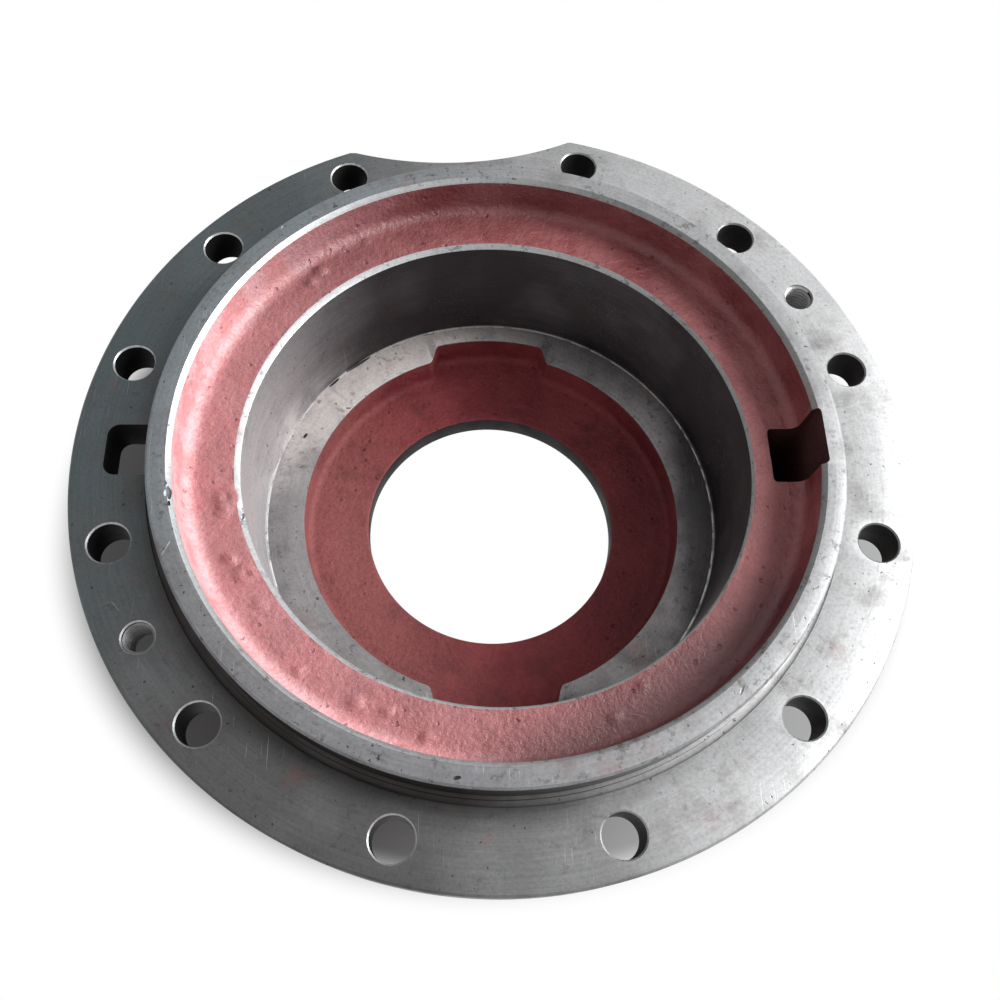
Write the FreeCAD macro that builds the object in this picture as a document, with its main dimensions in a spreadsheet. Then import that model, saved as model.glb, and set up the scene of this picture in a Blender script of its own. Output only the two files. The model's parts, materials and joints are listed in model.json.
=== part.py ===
import FreeCAD, Part
import os
import Sketcher

# Bearing seat: one iron casting, turned and drilled, in millimetres.
# Z is the bearing axis and points out of the mouth. Zero is the machined face of the flange.

DIMENSIONS = [
    ("bore_diameter", 174, "seat of the bearing's outer ring, from which the rest is laid out"),
    ("land_width", 14.5, "shoulder that the bearing stands on, from the bore inwards"),
    ("floor_width", 23.75, "from inside that shoulder to the shaft hole"),
    ("groove_width", 19, "raw groove between the bore and the ring, at its mouth"),
    ("ring_width", 8, "locating ring that enters the mating housing"),
    ("bolt_offset", 16, "outside of the ring to the bolt circle"),
    ("rim_width", 12, "bolt circle to the rim of the flange"),
    ("flange_thickness", 14, "machined face to the cast underside"),
    ("flange_edge_break", 0.8, "chamfer on the rim of the flange"),
    ("ring_height", 12.5, "top of the ring above the flange face"),
    ("ring_edge_break", 0.8, "outer chamfer of the ring"),
    ("ring_lead_in", 1.5, "inner chamfer of the ring"),
    ("shoulder_width", 1.2, "small step left at the foot of the ring"),
    ("shoulder_height", 0.8, "height of that step"),
    ("relief_width", 2, "turned relief outside the step"),
    ("relief_depth", 0.5, "depth of the relief"),
    ("groove_draft", 0.8, "how much the groove narrows to its floor"),
    ("groove_floor_depth", 2.1, "floor of the groove below the flange face"),
    ("groove_round", 3.8, "round between groove wall and floor"),
    ("bore_lead_in", 0.8, "chamfer at the mouth of the bore"),
    ("seat_depth", 51, "the bearing's shoulder below the flange face"),
    ("recess_depth", 13, "raw recess below the shoulder"),
    ("recess_foot_slope", 2.5, "45 degree slope at the foot of the recess"),
    ("notch_width", 46, "two pockets that widen the recess"),
    ("notch_depth", 7, "how far a pocket runs out past the shoulder's inside"),
    ("notch_corner", 4, "round at the outer corners of a pocket"),
    ("notch_entry", 2.8, "round where a pocket leaves the recess"),
    ("corner_share", 0.55, "most of a pocket's side wall that its corner round may take"),
    ("entry_share", 0.38, "most of that wall that the round at its entry may take"),
    ("web_thickness", 9, "floor of the hub"),
    ("shaft_hole_break", 0.8, "chamfer at both edges of the shaft hole"),
    ("hub_wall", 7, "metal round the bore where the hub meets the flange"),
    ("hub_draft", 1.6, "how much the hub narrows to its foot"),
    ("hub_root_slope", 5, "45 degree slope between hub and flange"),
    ("hub_foot_break", 3, "chamfer round the foot of the hub"),
    ("rib_count", 6, "gussets under the flange"),
    ("rib_first_angle", 30, "direction of the first gusset"),
    ("rib_thickness", 9, "width of a gusset"),
    ("rib_gap", 11, "outer end of a gusset to the bolt circle"),
    ("rib_toe", 4, "height of that end under the flange"),
    ("rib_drop", 41, "depth of a gusset along the hub"),
    ("rib_embed", 4, "how far a gusset is sunk in the hub and the flange"),
    ("bolt_hole_diameter", 13.5, "clearance hole for a 12 mm bolt"),
    ("hole_edge_break", 0.5, "chamfer on the flange face"),
    ("bolt_pitch_angle", 30, "angle between bolt holes"),
    ("right_first_angle", 15, "first of three holes right of the scallop"),
    ("right_count", 3, "holes in that run"),
    ("left_first_angle", 115, "first of two closer holes left of the scallop"),
    ("left_pitch_angle", 25, "angle between those two"),
    ("left_count", 2, "holes in that run"),
    ("front_first_angle", 165, "first of the seven holes round the front"),
    ("front_count", 7, "holes in that run"),
    ("jack_hole_diameter", 10.1, "jacking hole, at the roots of its 10 mm thread"),
    ("jack_first_angle", 30, "direction of the first jacking hole"),
    ("jack_count", 2, "jacking holes, opposite each other"),
    ("scallop_radius", 122, "arc cut out of the rim to clear a neighbour"),
    ("scallop_depth", 15, "how far the arc reaches in from the rim"),
    ("scallop_angle", 95, "direction of the scallop"),
    ("window_undercut", 2, "how far the oil window is cut into the ring, from the groove"),
    ("window_width", 20.6, "width of the window"),
    ("window_corner", 1.5, "rounds in the corners of the window"),
    ("pocket_depth", 45, "depth of the closed pocket under the window, from the flange face"),
    ("pocket_wall", 5, "metal round the pocket and under it"),
    ("pocket_sunk", 6, "how far the pocket's box is sunk in the hub"),
    ("slot_gap", 11, "far end of the oil slot to the rim of the flange"),
    ("slot_width", 18.8, "width of the slot"),
    ("slot_corner", 4, "rounds at the far end of the slot"),
    ("slot_undercut", 2, "how far the slot runs in under the ring"),
    ("clear_over", 5, "how far a through cut runs past the metal"),
]

# Sizes that follow from the ones above
FORMULAS = [
    ("bore_radius", "bore_diameter / 2"),
    ("land_radius", "bore_radius - land_width"),
    ("shaft_hole_radius", "land_radius - floor_width"),
    ("notch_reach", "land_radius + notch_depth"),
    ("hub_radius", "bore_radius + hub_wall"),
    ("groove_radius", "bore_radius + groove_width"),
    ("ring_radius", "groove_radius + ring_width"),
    ("bolt_circle_radius", "ring_radius + bolt_offset"),
    ("flange_radius", "bolt_circle_radius + rim_width"),
    ("rib_reach", "bolt_circle_radius - rib_gap"),
    ("scallop_centre", "flange_radius - scallop_depth + scallop_radius"),
    ("window_inner", "hub_radius"),
    ("window_outer", "groove_radius + window_undercut"),
    ("slot_outer", "flange_radius - slot_gap"),
    ("bolt_hole_radius", "bolt_hole_diameter / 2"),
    ("jack_hole_radius", "jack_hole_diameter / 2"),
    ("recess_floor_depth", "seat_depth + recess_depth"),
    ("foot_depth", "recess_floor_depth + web_thickness"),
    ("hub_foot_radius", "hub_radius - hub_draft"),
    ("relief_inner_radius", "ring_radius + shoulder_width"),
    ("relief_outer_radius", "relief_inner_radius + relief_width"),
    ("groove_floor_radius", "groove_radius - groove_draft"),
]

doc = FreeCAD.newDocument("bearing_seat")
sizes = doc.addObject("Spreadsheet::Sheet", "sizes")
for row, (alias, value, meaning) in enumerate(DIMENSIONS, start=1):
    sizes.set(f"A{row}", meaning)
    sizes.set(f"B{row}", str(value))
    sizes.setAlias(f"B{row}", alias)
doc.recompute()
for row, (alias, formula) in enumerate(FORMULAS, start=len(DIMENSIONS) + 1):
    sizes.set(f"A{row}", alias.replace("_", " "))
    sizes.set(f"B{row}", "=" + formula)
    sizes.setAlias(f"B{row}", alias)
    doc.recompute()

ALIASES = [alias for alias, *_ in DIMENSIONS + FORMULAS]
SAME_PLACE = 1e-4  # two places this near to each other, in mm, are one


def bound(formula):
    """The formula with each size named as the sheet's own."""
    words = formula.replace("(", "( ").replace(")", " )").split()
    return " ".join("sizes." + word if word in ALIASES else word for word in words)


def value_of(formula):
    return float(sizes.evalExpression(bound(formula)))


seat = doc.addObject("PartDesign::Body", "bearing_seat")
seat.Label = "bearing_seat"


def origin_part(role):
    return next(item for item in seat.Origin.OriginFeatures if item.Role == role)


def new_sketch(name, plane, height="0", turn=None):
    """A sketch on one of the body's own planes, lifted to a height or turned about the axis."""
    sketch = seat.newObject("Sketcher::SketchObject", name)
    sketch.AttachmentSupport = (origin_part(plane), "")
    sketch.MapMode = "FlatFace"
    if turn:
        axis_in_sketch = FreeCAD.Vector(0, 1, 0)
        sketch.AttachmentOffset = FreeCAD.Placement(
            FreeCAD.Vector(), FreeCAD.Rotation(axis_in_sketch, value_of(turn))
        )
        sketch.setExpression("AttachmentOffset.Rotation.Angle", bound(turn))
    elif height != "0":
        sketch.AttachmentOffset = FreeCAD.Placement(
            FreeCAD.Vector(0, 0, value_of(height)), FreeCAD.Rotation()
        )
        sketch.setExpression("AttachmentOffset.Base.z", bound(height))
    return sketch


def hold_coordinate(sketch, kind, geometry, end, formula):
    """Tie one coordinate of a point to a formula. Sketch distances are positive, so the order is swapped."""
    value = value_of(formula)
    axis_line = -2 if kind == "DistanceX" else -1
    if abs(value) < 1e-9:
        sketch.addConstraint(Sketcher.Constraint("PointOnObject", geometry, end, axis_line))
        return
    if value > 0:
        index = sketch.addConstraint(Sketcher.Constraint(kind, -1, 1, geometry, end, value))
        sketch.setExpression(f"Constraints[{index}]", bound(formula))
        return
    index = sketch.addConstraint(Sketcher.Constraint(kind, geometry, end, -1, 1, -value))
    sketch.setExpression(f"Constraints[{index}]", bound(f"0 - ( {formula} )"))


def moved(corner, other, distance):
    """The point that lies a distance from a corner, along X or Y towards another corner."""
    x, y = corner
    step_x = value_of(other[0]) - value_of(x)
    step_y = value_of(other[1]) - value_of(y)
    if abs(step_x) > abs(step_y):
        return (f"{x} + {distance}" if step_x > 0 else f"{x} - {distance}", y)
    return (x, f"{y} + {distance}" if step_y > 0 else f"{y} - {distance}")


def point_at(place):
    return FreeCAD.Vector(value_of(place[0]), value_of(place[1]), 0)


def add_outline(sketch, corners, rounded=(), radius="0"):
    """A closed outline through corners given as pairs of formulas, some of them rounded."""
    starts, ends = [], []
    for index, corner in enumerate(corners):
        before = corners[index - 1]
        after = corners[(index + 1) % len(corners)]
        is_round = index in rounded
        ends.append(moved(corner, before, radius) if is_round else corner)
        starts.append(moved(corner, after, radius) if is_round else corner)
    ends = ends[1:] + ends[:1]
    for start, end in zip(starts, ends):
        sketch.addGeometry(Part.LineSegment(point_at(start), point_at(end)), False)
    for index, (start, end) in enumerate(zip(starts, ends)):
        following = (index + 1) % len(corners)
        hold_coordinate(sketch, "DistanceX", index, 1, start[0])
        hold_coordinate(sketch, "DistanceY", index, 1, start[1])
        if following not in rounded:
            sketch.addConstraint(Sketcher.Constraint("Coincident", index, 2, following, 1))
            continue
        hold_coordinate(sketch, "DistanceX", index, 2, end[0])
        hold_coordinate(sketch, "DistanceY", index, 2, end[1])
        first, last = point_at(end), point_at(starts[following])
        corner = point_at(corners[following])
        centre = first + last - corner
        outward = (corner - centre).normalize()
        top = centre + outward * value_of(radius)
        add_arc(sketch, (index, 2), (following, 1), top, radius)


def add_arc(sketch, start, end, top, radius):
    """An arc from one drawn end to another, through a point at its top."""
    first, last = sketch.getPoint(*start), sketch.getPoint(*end)
    arc = sketch.addGeometry(Part.Arc(first, top, last), False)
    near, far = (1, 2) if (sketch.getPoint(arc, 1) - first).Length < 1e-6 else (2, 1)
    sketch.addConstraint(Sketcher.Constraint("Coincident", arc, near, *start))
    sketch.addConstraint(Sketcher.Constraint("Coincident", arc, far, *end))
    index = sketch.addConstraint(Sketcher.Constraint("Radius", arc, value_of(radius)))
    sketch.setExpression(f"Constraints[{index}]", bound(radius))


def add_circle(sketch, distance, angle, radius):
    """A circle at a distance from the axis, in a direction given in degrees."""
    x = f"{distance} * cos( {angle} )"
    y = f"{distance} * sin( {angle} )"
    centre = FreeCAD.Vector(value_of(x), value_of(y), 0)
    circle = sketch.addGeometry(
        Part.Circle(centre, FreeCAD.Vector(0, 0, 1), value_of(radius)), False
    )
    hold_coordinate(sketch, "DistanceX", circle, 3, x)
    hold_coordinate(sketch, "DistanceY", circle, 3, y)
    index = sketch.addConstraint(Sketcher.Constraint("Radius", circle, value_of(radius)))
    sketch.setExpression(f"Constraints[{index}]", bound(radius))


def cut(name, sketch, depth):
    """Pocket down from the sketch to a depth, and make sure that it takes metal away."""
    before = seat.Shape.Volume
    pocket = seat.newObject("PartDesign::Pocket", name)
    pocket.Profile = sketch
    pocket.Length = value_of(depth)
    pocket.setExpression("Length", bound(depth))
    doc.recompute()
    if not pocket.Shape.Volume < before - 1:
        raise RuntimeError(f"{name} cuts nothing")
    return pocket


def repeat_round(name, feature, count, span, whole_turn=False):
    """Repeat a feature about the bearing axis, over a span of degrees from first to last."""
    pattern = seat.newObject("PartDesign::PolarPattern", name)
    pattern.Originals = [feature]
    pattern.Axis = (origin_part("Z_Axis"), [""])
    pattern.Angle = 360 if whole_turn else value_of(span)
    if not whole_turn:
        pattern.setExpression("Angle", bound(span))
    pattern.Occurrences = int(value_of(count))
    pattern.setExpression("Occurrences", bound(count))
    seat.Tip = pattern
    doc.recompute()
    return pattern


def rings_at(feature, places):
    """Names of the whole circular edges with the given pairs of radius and height."""
    wanted = [(value_of(radius), value_of(height)) for radius, height in places]
    found = []
    for index, edge in enumerate(feature.Shape.Edges, start=1):
        if not isinstance(edge.Curve, Part.Circle):
            continue
        centre = edge.Curve.Center
        on_axis = abs(centre.x) + abs(centre.y) < SAME_PLACE
        for radius, height in wanted:
            if on_axis and abs(edge.Curve.Radius - radius) + abs(centre.z - height) < SAME_PLACE:
                found.append(f"Edge{index}")
    return found


def dress(kind, name, base, edges, size, formula):
    """A fillet or a chamfer on named edges of a feature."""
    if not edges:
        raise RuntimeError(f"{name} finds no edge")
    feature = seat.newObject("PartDesign::" + kind, name)
    feature.Base = (base, edges)
    setattr(feature, size, value_of(formula))
    feature.setExpression(size, bound(formula))
    doc.recompute()
    return feature


# The section of the casting, turned about the axis: x is the radius and y the height
section = new_sketch("section", "XZ_Plane")
add_outline(
    section,
    [
        ("shaft_hole_radius", "0 - foot_depth"),
        ("hub_foot_radius", "0 - foot_depth"),
        ("hub_radius", "0 - flange_thickness"),
        ("flange_radius", "0 - flange_thickness"),
        ("flange_radius", "0"),
        ("relief_outer_radius", "0"),
        ("relief_outer_radius", "0 - relief_depth"),
        ("relief_inner_radius", "0 - relief_depth"),
        ("relief_inner_radius", "shoulder_height"),
        ("ring_radius", "shoulder_height"),
        ("ring_radius", "ring_height - ring_edge_break"),
        ("ring_radius - ring_edge_break", "ring_height"),
        ("groove_radius + ring_lead_in", "ring_height"),
        ("groove_radius", "ring_height - ring_lead_in"),
        ("groove_floor_radius", "0 - groove_floor_depth"),
        ("bore_radius + bore_lead_in", "0 - groove_floor_depth"),
        ("bore_radius", "0 - groove_floor_depth - bore_lead_in"),
        ("bore_radius", "0 - seat_depth"),
        ("land_radius", "0 - seat_depth"),
        ("land_radius", "0 - recess_floor_depth"),
        ("shaft_hole_radius", "0 - recess_floor_depth"),
    ],
)
doc.recompute()
turned = seat.newObject("PartDesign::Revolution", "turned_casting")
turned.Profile = section
turned.ReferenceAxis = (section, ["V_Axis"])
turned.Angle = 360
doc.recompute()

# Cast rounds and turned chamfers
groove_rounded = dress(
    "Fillet", "groove_rounded", turned,
    rings_at(turned, [("groove_floor_radius", "0 - groove_floor_depth")]),
    "Radius", "groove_round",
)
hub_root_sloped = dress(
    "Chamfer", "hub_root_sloped", groove_rounded,
    rings_at(groove_rounded, [("hub_radius", "0 - flange_thickness")]),
    "Size", "hub_root_slope",
)
shaft_hole_broken = dress(
    "Chamfer", "shaft_hole_broken", hub_root_sloped,
    rings_at(hub_root_sloped, [
        ("shaft_hole_radius", "0 - recess_floor_depth"),
        ("shaft_hole_radius", "0 - foot_depth"),
    ]),
    "Size", "shaft_hole_break",
)
hub_foot_broken = dress(
    "Chamfer", "hub_foot_broken", shaft_hole_broken,
    rings_at(shaft_hole_broken, [("hub_foot_radius", "0 - foot_depth")]),
    "Size", "hub_foot_break",
)
rim_broken = dress(
    "Chamfer", "rim_broken", hub_foot_broken,
    rings_at(hub_foot_broken, [("flange_radius", "0"), ("flange_radius", "0 - flange_thickness")]),
    "Size", "flange_edge_break",
)

# Gussets between the hub and the underside of the flange
gusset_side = new_sketch("gusset_side", "XZ_Plane", turn="rib_first_angle")
add_outline(
    gusset_side,
    [
        ("hub_foot_radius - rib_embed + hub_draft / 2", "0 - flange_thickness + rib_embed"),
        ("rib_reach", "0 - flange_thickness + rib_embed"),
        ("rib_reach", "0 - flange_thickness - rib_toe"),
        ("hub_foot_radius + hub_draft / 2", "0 - flange_thickness - rib_drop"),
        ("hub_foot_radius - rib_embed + hub_draft / 2", "0 - flange_thickness - rib_drop"),
    ],
)
doc.recompute()
gusset = seat.newObject("PartDesign::Pad", "gusset")
gusset.Profile = gusset_side
gusset.SideType = "Symmetric"
gusset.Length = value_of("rib_thickness")
gusset.setExpression("Length", bound("rib_thickness"))
doc.recompute()
gussets = repeat_round("gussets", gusset, "rib_count", "360", whole_turn=True)

# Box under the flange that closes the pocket below the oil window
pocket_box_outline = new_sketch(
    "pocket_box_outline", "XY_Plane", height="rib_embed - flange_thickness"
)
add_outline(
    pocket_box_outline,
    [
        ("hub_radius - pocket_sunk", "0 - window_width / 2 - pocket_wall"),
        ("window_outer + pocket_wall", "0 - window_width / 2 - pocket_wall"),
        ("window_outer + pocket_wall", "window_width / 2 + pocket_wall"),
        ("hub_radius - pocket_sunk", "window_width / 2 + pocket_wall"),
    ],
    rounded=(1, 2),
    radius="pocket_wall",
)
doc.recompute()
pocket_box = seat.newObject("PartDesign::Pad", "pocket_box")
pocket_box.Profile = pocket_box_outline
pocket_box.Reversed = True
pocket_box.Length = value_of("pocket_depth + pocket_wall + rib_embed - flange_thickness")
pocket_box.setExpression(
    "Length", bound("pocket_depth + pocket_wall + rib_embed - flange_thickness")
)
doc.recompute()

# Scallop in the rim
scallop_arc = new_sketch("scallop_arc", "XY_Plane", height="clear_over")
add_circle(scallop_arc, "scallop_centre", "scallop_angle", "scallop_radius")
doc.recompute()
scallop = cut("scallop", scallop_arc, "flange_thickness + 2 * clear_over")

# Bolt holes in three runs round the flange, and the two tapped jacking holes
RUNS = [
    ("right_bolt_hole", "right_first_angle", "bolt_hole_radius", "right_count", "bolt_pitch_angle"),
    ("left_bolt_hole", "left_first_angle", "bolt_hole_radius", "left_count", "left_pitch_angle"),
    ("front_bolt_hole", "front_first_angle", "bolt_hole_radius", "front_count", "bolt_pitch_angle"),
]
for name, first_angle, radius, count, pitch in RUNS:
    outline = new_sketch(name + "_outline", "XY_Plane", height="clear_over")
    add_circle(outline, "bolt_circle_radius", first_angle, radius)
    doc.recompute()
    hole = cut(name, outline, "flange_thickness + 2 * clear_over")
    repeat_round(name + "s", hole, count, f"( {count} - 1 ) * {pitch}")
jack_outline = new_sketch("jacking_hole_outline", "XY_Plane", height="clear_over")
add_circle(jack_outline, "bolt_circle_radius", "jack_first_angle", "jack_hole_radius")
doc.recompute()
jacking_hole = cut("jacking_hole", jack_outline, "flange_thickness + 2 * clear_over")
jacking_holes = repeat_round("jacking_holes", jacking_hole, "jack_count", "360", whole_turn=True)

# Each hole's edge is broken on the machined face
mouths = []
for index, edge in enumerate(jacking_holes.Shape.Edges, start=1):
    if isinstance(edge.Curve, Part.Circle):
        centre = edge.Curve.Center
        off_axis = FreeCAD.Vector(centre.x, centre.y, 0).Length
        on_circle = abs(off_axis - value_of("bolt_circle_radius")) < SAME_PLACE
        if on_circle and abs(centre.z) < SAME_PLACE:
            mouths.append(f"Edge{index}")
holes_broken = dress("Chamfer", "holes_broken", jacking_holes, mouths, "Size", "hole_edge_break")

# Oil window in the floor of the groove, cut up into the ring and down into the box
window_outline = new_sketch("window_outline", "XY_Plane", height="ring_height + clear_over")
add_outline(
    window_outline,
    [
        ("window_inner", "0 - window_width / 2"),
        ("window_outer", "0 - window_width / 2"),
        ("window_outer", "window_width / 2"),
        ("window_inner", "window_width / 2"),
    ],
    rounded=(0, 1, 2, 3),
    radius="window_corner",
)
doc.recompute()
window = cut("window", window_outline, "ring_height + clear_over + pocket_depth")

# Oil slot through the flange and the step on it, from under the ring outwards
slot_outline = new_sketch("slot_outline", "XY_Plane", height="shoulder_height")
add_outline(
    slot_outline,
    [
        ("0 - slot_outer", "0 - slot_width / 2"),
        ("slot_undercut - ring_radius", "0 - slot_width / 2"),
        ("slot_undercut - ring_radius", "slot_width / 2"),
        ("0 - slot_outer", "slot_width / 2"),
    ],
    rounded=(0, 3),
    radius="slot_corner",
)
doc.recompute()
slot = cut("slot", slot_outline, "shoulder_height + flange_thickness + clear_over")

# Two pockets widen the recess under the bearing shoulder
half_reach = "sqrt( notch_reach * notch_reach - notch_width * notch_width / 4 )"
pocket_outline = new_sketch("pocket_outline", "XY_Plane", height="0 - seat_depth")
right_side = pocket_outline.addGeometry(Part.LineSegment(
    FreeCAD.Vector(value_of("notch_width / 2"), -value_of(half_reach), 0),
    FreeCAD.Vector(value_of("notch_width / 2"), value_of(half_reach), 0),
), False)
left_side = pocket_outline.addGeometry(Part.LineSegment(
    FreeCAD.Vector(-value_of("notch_width / 2"), value_of(half_reach), 0),
    FreeCAD.Vector(-value_of("notch_width / 2"), -value_of(half_reach), 0),
), False)
for geometry, sign in ((right_side, ""), (left_side, "0 - ")):
    for end, height in ((1, "0 - " if geometry == right_side else ""),
                        (2, "" if geometry == right_side else "0 - ")):
        hold_coordinate(pocket_outline, "DistanceX", geometry, end, sign + "notch_width / 2")
        hold_coordinate(pocket_outline, "DistanceY", geometry, end, height + half_reach)
far_end = FreeCAD.Vector(0, value_of("notch_reach"), 0)
add_arc(pocket_outline, (right_side, 2), (left_side, 1), far_end, "notch_reach")
add_arc(pocket_outline, (left_side, 2), (right_side, 1), -far_end, "notch_reach")
doc.recompute()
recess_pockets = cut("recess_pockets", pocket_outline, "recess_depth")


def upright_edges(feature, places):
    """Names of the edges along Z that stand at the given places."""
    wanted = [(value_of(x), value_of(y)) for x, y in places]
    found = []
    for index, edge in enumerate(feature.Shape.Edges, start=1):
        if not isinstance(edge.Curve, Part.Line):
            continue
        low, high = edge.Vertexes[0].Point, edge.Vertexes[-1].Point
        if abs(low.x - high.x) + abs(low.y - high.y) > 1e-4:
            continue
        for x, y in wanted:
            if abs(low.x - x) + abs(low.y - y) < 10 * SAME_PLACE:
                found.append(f"Edge{index}")
    return found


def four_corners(x, y):
    return [(sign_x + x, sign_y + y) for sign_x in ("", "0 - ") for sign_y in ("", "0 - ")]


# The rounds of a pocket are as large as its short side walls allow
half_entry = "sqrt( land_radius * land_radius - notch_width * notch_width / 4 )"
side_wall = f"( {half_reach} - {half_entry} )"
pockets_rounded = dress(
    "Fillet", "pockets_rounded", recess_pockets,
    upright_edges(recess_pockets, four_corners("notch_width / 2", half_reach)),
    "Radius", f"min( notch_corner ; corner_share * {side_wall} )",
)
entries_rounded = dress(
    "Fillet", "entries_rounded", pockets_rounded,
    upright_edges(pockets_rounded, four_corners("notch_width / 2", half_entry)),
    "Radius", f"min( notch_entry ; entry_share * {side_wall} )",
)
# The foot of the recess slopes all the way round, pockets included
floor_edges = []
for index, edge in enumerate(entries_rounded.Shape.Edges, start=1):
    on_floor = all(
        abs(vertex.Z + value_of("recess_floor_depth")) < SAME_PLACE for vertex in edge.Vertexes
    )
    outside = all(
        (vertex.X ** 2 + vertex.Y ** 2) ** 0.5 > value_of("land_radius") - SAME_PLACE
        for vertex in edge.Vertexes
    )
    if on_floor and outside:
        floor_edges.append(f"Edge{index}")
recess_sloped = dress(
    "Chamfer", "recess_sloped", entries_rounded, floor_edges, "Size", "recess_foot_slope"
)
seat.Tip = recess_sloped
doc.recompute()

# Nothing is written unless every feature is sound
for item in doc.Objects:
    faults = [state for state in item.State if state in ("Invalid", "Error")]
    if faults:
        raise RuntimeError(f"{item.Name} is {faults}")
if seat.Shape.isNull() or not seat.Shape.isValid() or len(seat.Shape.Solids) != 1:
    raise RuntimeError("the casting is not one sound solid")
os.makedirs("parts", exist_ok=True)
seat.Shape.exportStep("parts/" + seat.Label + ".step")
print("volume", round(seat.Shape.Volume), "faces", len(seat.Shape.Faces))
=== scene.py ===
# A bearing seat: one grey iron casting, painted with red primer where it is raw and left bare where
# it is machined.
import json
import math
import bpy
import bmesh
from mathutils import Matrix, Vector


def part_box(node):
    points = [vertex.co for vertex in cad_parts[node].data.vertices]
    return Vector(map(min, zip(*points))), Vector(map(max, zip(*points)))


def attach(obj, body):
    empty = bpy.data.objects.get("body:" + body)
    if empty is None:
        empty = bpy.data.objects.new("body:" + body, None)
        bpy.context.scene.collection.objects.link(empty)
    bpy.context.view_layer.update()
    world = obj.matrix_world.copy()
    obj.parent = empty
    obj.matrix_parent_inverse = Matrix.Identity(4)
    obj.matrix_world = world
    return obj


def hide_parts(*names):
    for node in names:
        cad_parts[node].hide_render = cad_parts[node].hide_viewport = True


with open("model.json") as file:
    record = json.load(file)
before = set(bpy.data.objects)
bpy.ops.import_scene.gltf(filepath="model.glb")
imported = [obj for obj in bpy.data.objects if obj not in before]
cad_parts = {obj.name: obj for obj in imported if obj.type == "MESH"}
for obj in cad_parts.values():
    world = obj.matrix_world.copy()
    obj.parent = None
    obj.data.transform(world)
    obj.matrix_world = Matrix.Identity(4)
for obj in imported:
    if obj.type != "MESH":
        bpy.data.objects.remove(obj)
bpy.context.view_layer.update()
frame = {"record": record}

# THE TURNED CASTING
# One grey iron casting: a bolting flange, a locating ring, a groove, a deep bore with its shoulder,
# a raw recess and a pierced floor. The raw skin is sand cast, the rest was faced and bored on a lathe.
MM = 0.001
mounts = {mount["name"]: mount for mount in frame["record"]["mounts"]}
RING_RADIUS = mounts["locating_ring"]["dims"]["r_mm"]
BORE_RADIUS = mounts["bearing_bore"]["dims"]["r_mm"]
SHAFT_RADIUS = mounts["shaft_hole"]["dims"]["r_mm"]
SHOULDER_DEPTH = -mounts["bearing_shoulder"]["pos_m"][2] / MM
seat_low, seat_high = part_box("bearing_seat")
FOOT_DEPTH = -seat_low.z / MM
RING_HEIGHT = seat_high.z / MM
RIM_RADIUS = seat_high.x / MM
FLANGE_THICKNESS = 14
RIM_BREAK = 0.8
RELIEF_OUTER = RING_RADIUS + 3.2
RELIEF_INNER = RING_RADIUS + 1.2
RELIEF_DEPTH = 0.5
STEP_HEIGHT = 0.8
RING_BREAK = 0.8
LEAD_IN = 1.5
GROOVE_RADIUS = 106
GROOVE_FLOOR_RADIUS = 105.2
GROOVE_DEPTH = 2.1
BORE_LEAD_IN = 0.8
FOOT_LINE = 0.35
BARE_LIP = 0.7
MOUTH_EXTRA = 1.5
MOUTH_WIDEST = math.radians(125)
LAND_RADIUS = 72.5
RECESS_DEPTH = SHOULDER_DEPTH + 13
POCKET_HALF_WIDTH = 23
POCKET_REACH = 79.5
POCKET_CORNER = 4
POCKET_ENTRY = 2.8
HUB_RADIUS = 94
HUB_FOOT_RADIUS = 92.4
SCALLOP_CENTRE = 249
SCALLOP_RADIUS = 122
SCALLOP_ANGLE = math.radians(95)
SEGMENTS = 408
FLANK_SPREAD = math.radians(3.6)
FLANK_STEPS = 18
RAW_STEP = 2.2
FINE_STEP = 1.1


def circle(radius):
    return lambda angle: radius


def scalloped(radius):
    """The rim: a circle with an arc of a neighbour's outline taken out of it."""
    def at(angle):
        turn = angle - SCALLOP_ANGLE
        chord = SCALLOP_RADIUS ** 2 - (SCALLOP_CENTRE * math.sin(turn)) ** 2
        if chord <= 0 or math.cos(turn) < 0:
            return radius
        return min(radius, SCALLOP_CENTRE * math.cos(turn) - math.sqrt(chord))
    return at


def pocketed(radius):
    """The recess: a circle that two wide pockets carry further out, at the back and the front."""
    def at(angle):
        side = POCKET_HALF_WIDTH / max(abs(math.cos(angle)), 1e-9)
        outer = smooth_min(side, POCKET_REACH, 2 * POCKET_CORNER)
        return smooth_max(outer, radius, 2 * POCKET_ENTRY)
    return at


def ground_mouth(angle):
    """The bore's lead-in is cut into a raw floor, so it is wider where that floor stands higher."""
    return BORE_RADIUS + BORE_LEAD_IN + MOUTH_EXTRA * (1 + math.cos(angle - MOUTH_WIDEST)) / 2


def smooth_min(a, b, width):
    part = max(width - abs(a - b), 0) / width
    return min(a, b) - part * part * width / 4


def smooth_max(a, b, width):
    return -smooth_min(-a, -b, width)


RIM = scalloped(RIM_RADIUS)
RIM_FLAT = scalloped(RIM_RADIUS - RIM_BREAK)
RECESS = pocketed(LAND_RADIUS)

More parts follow.
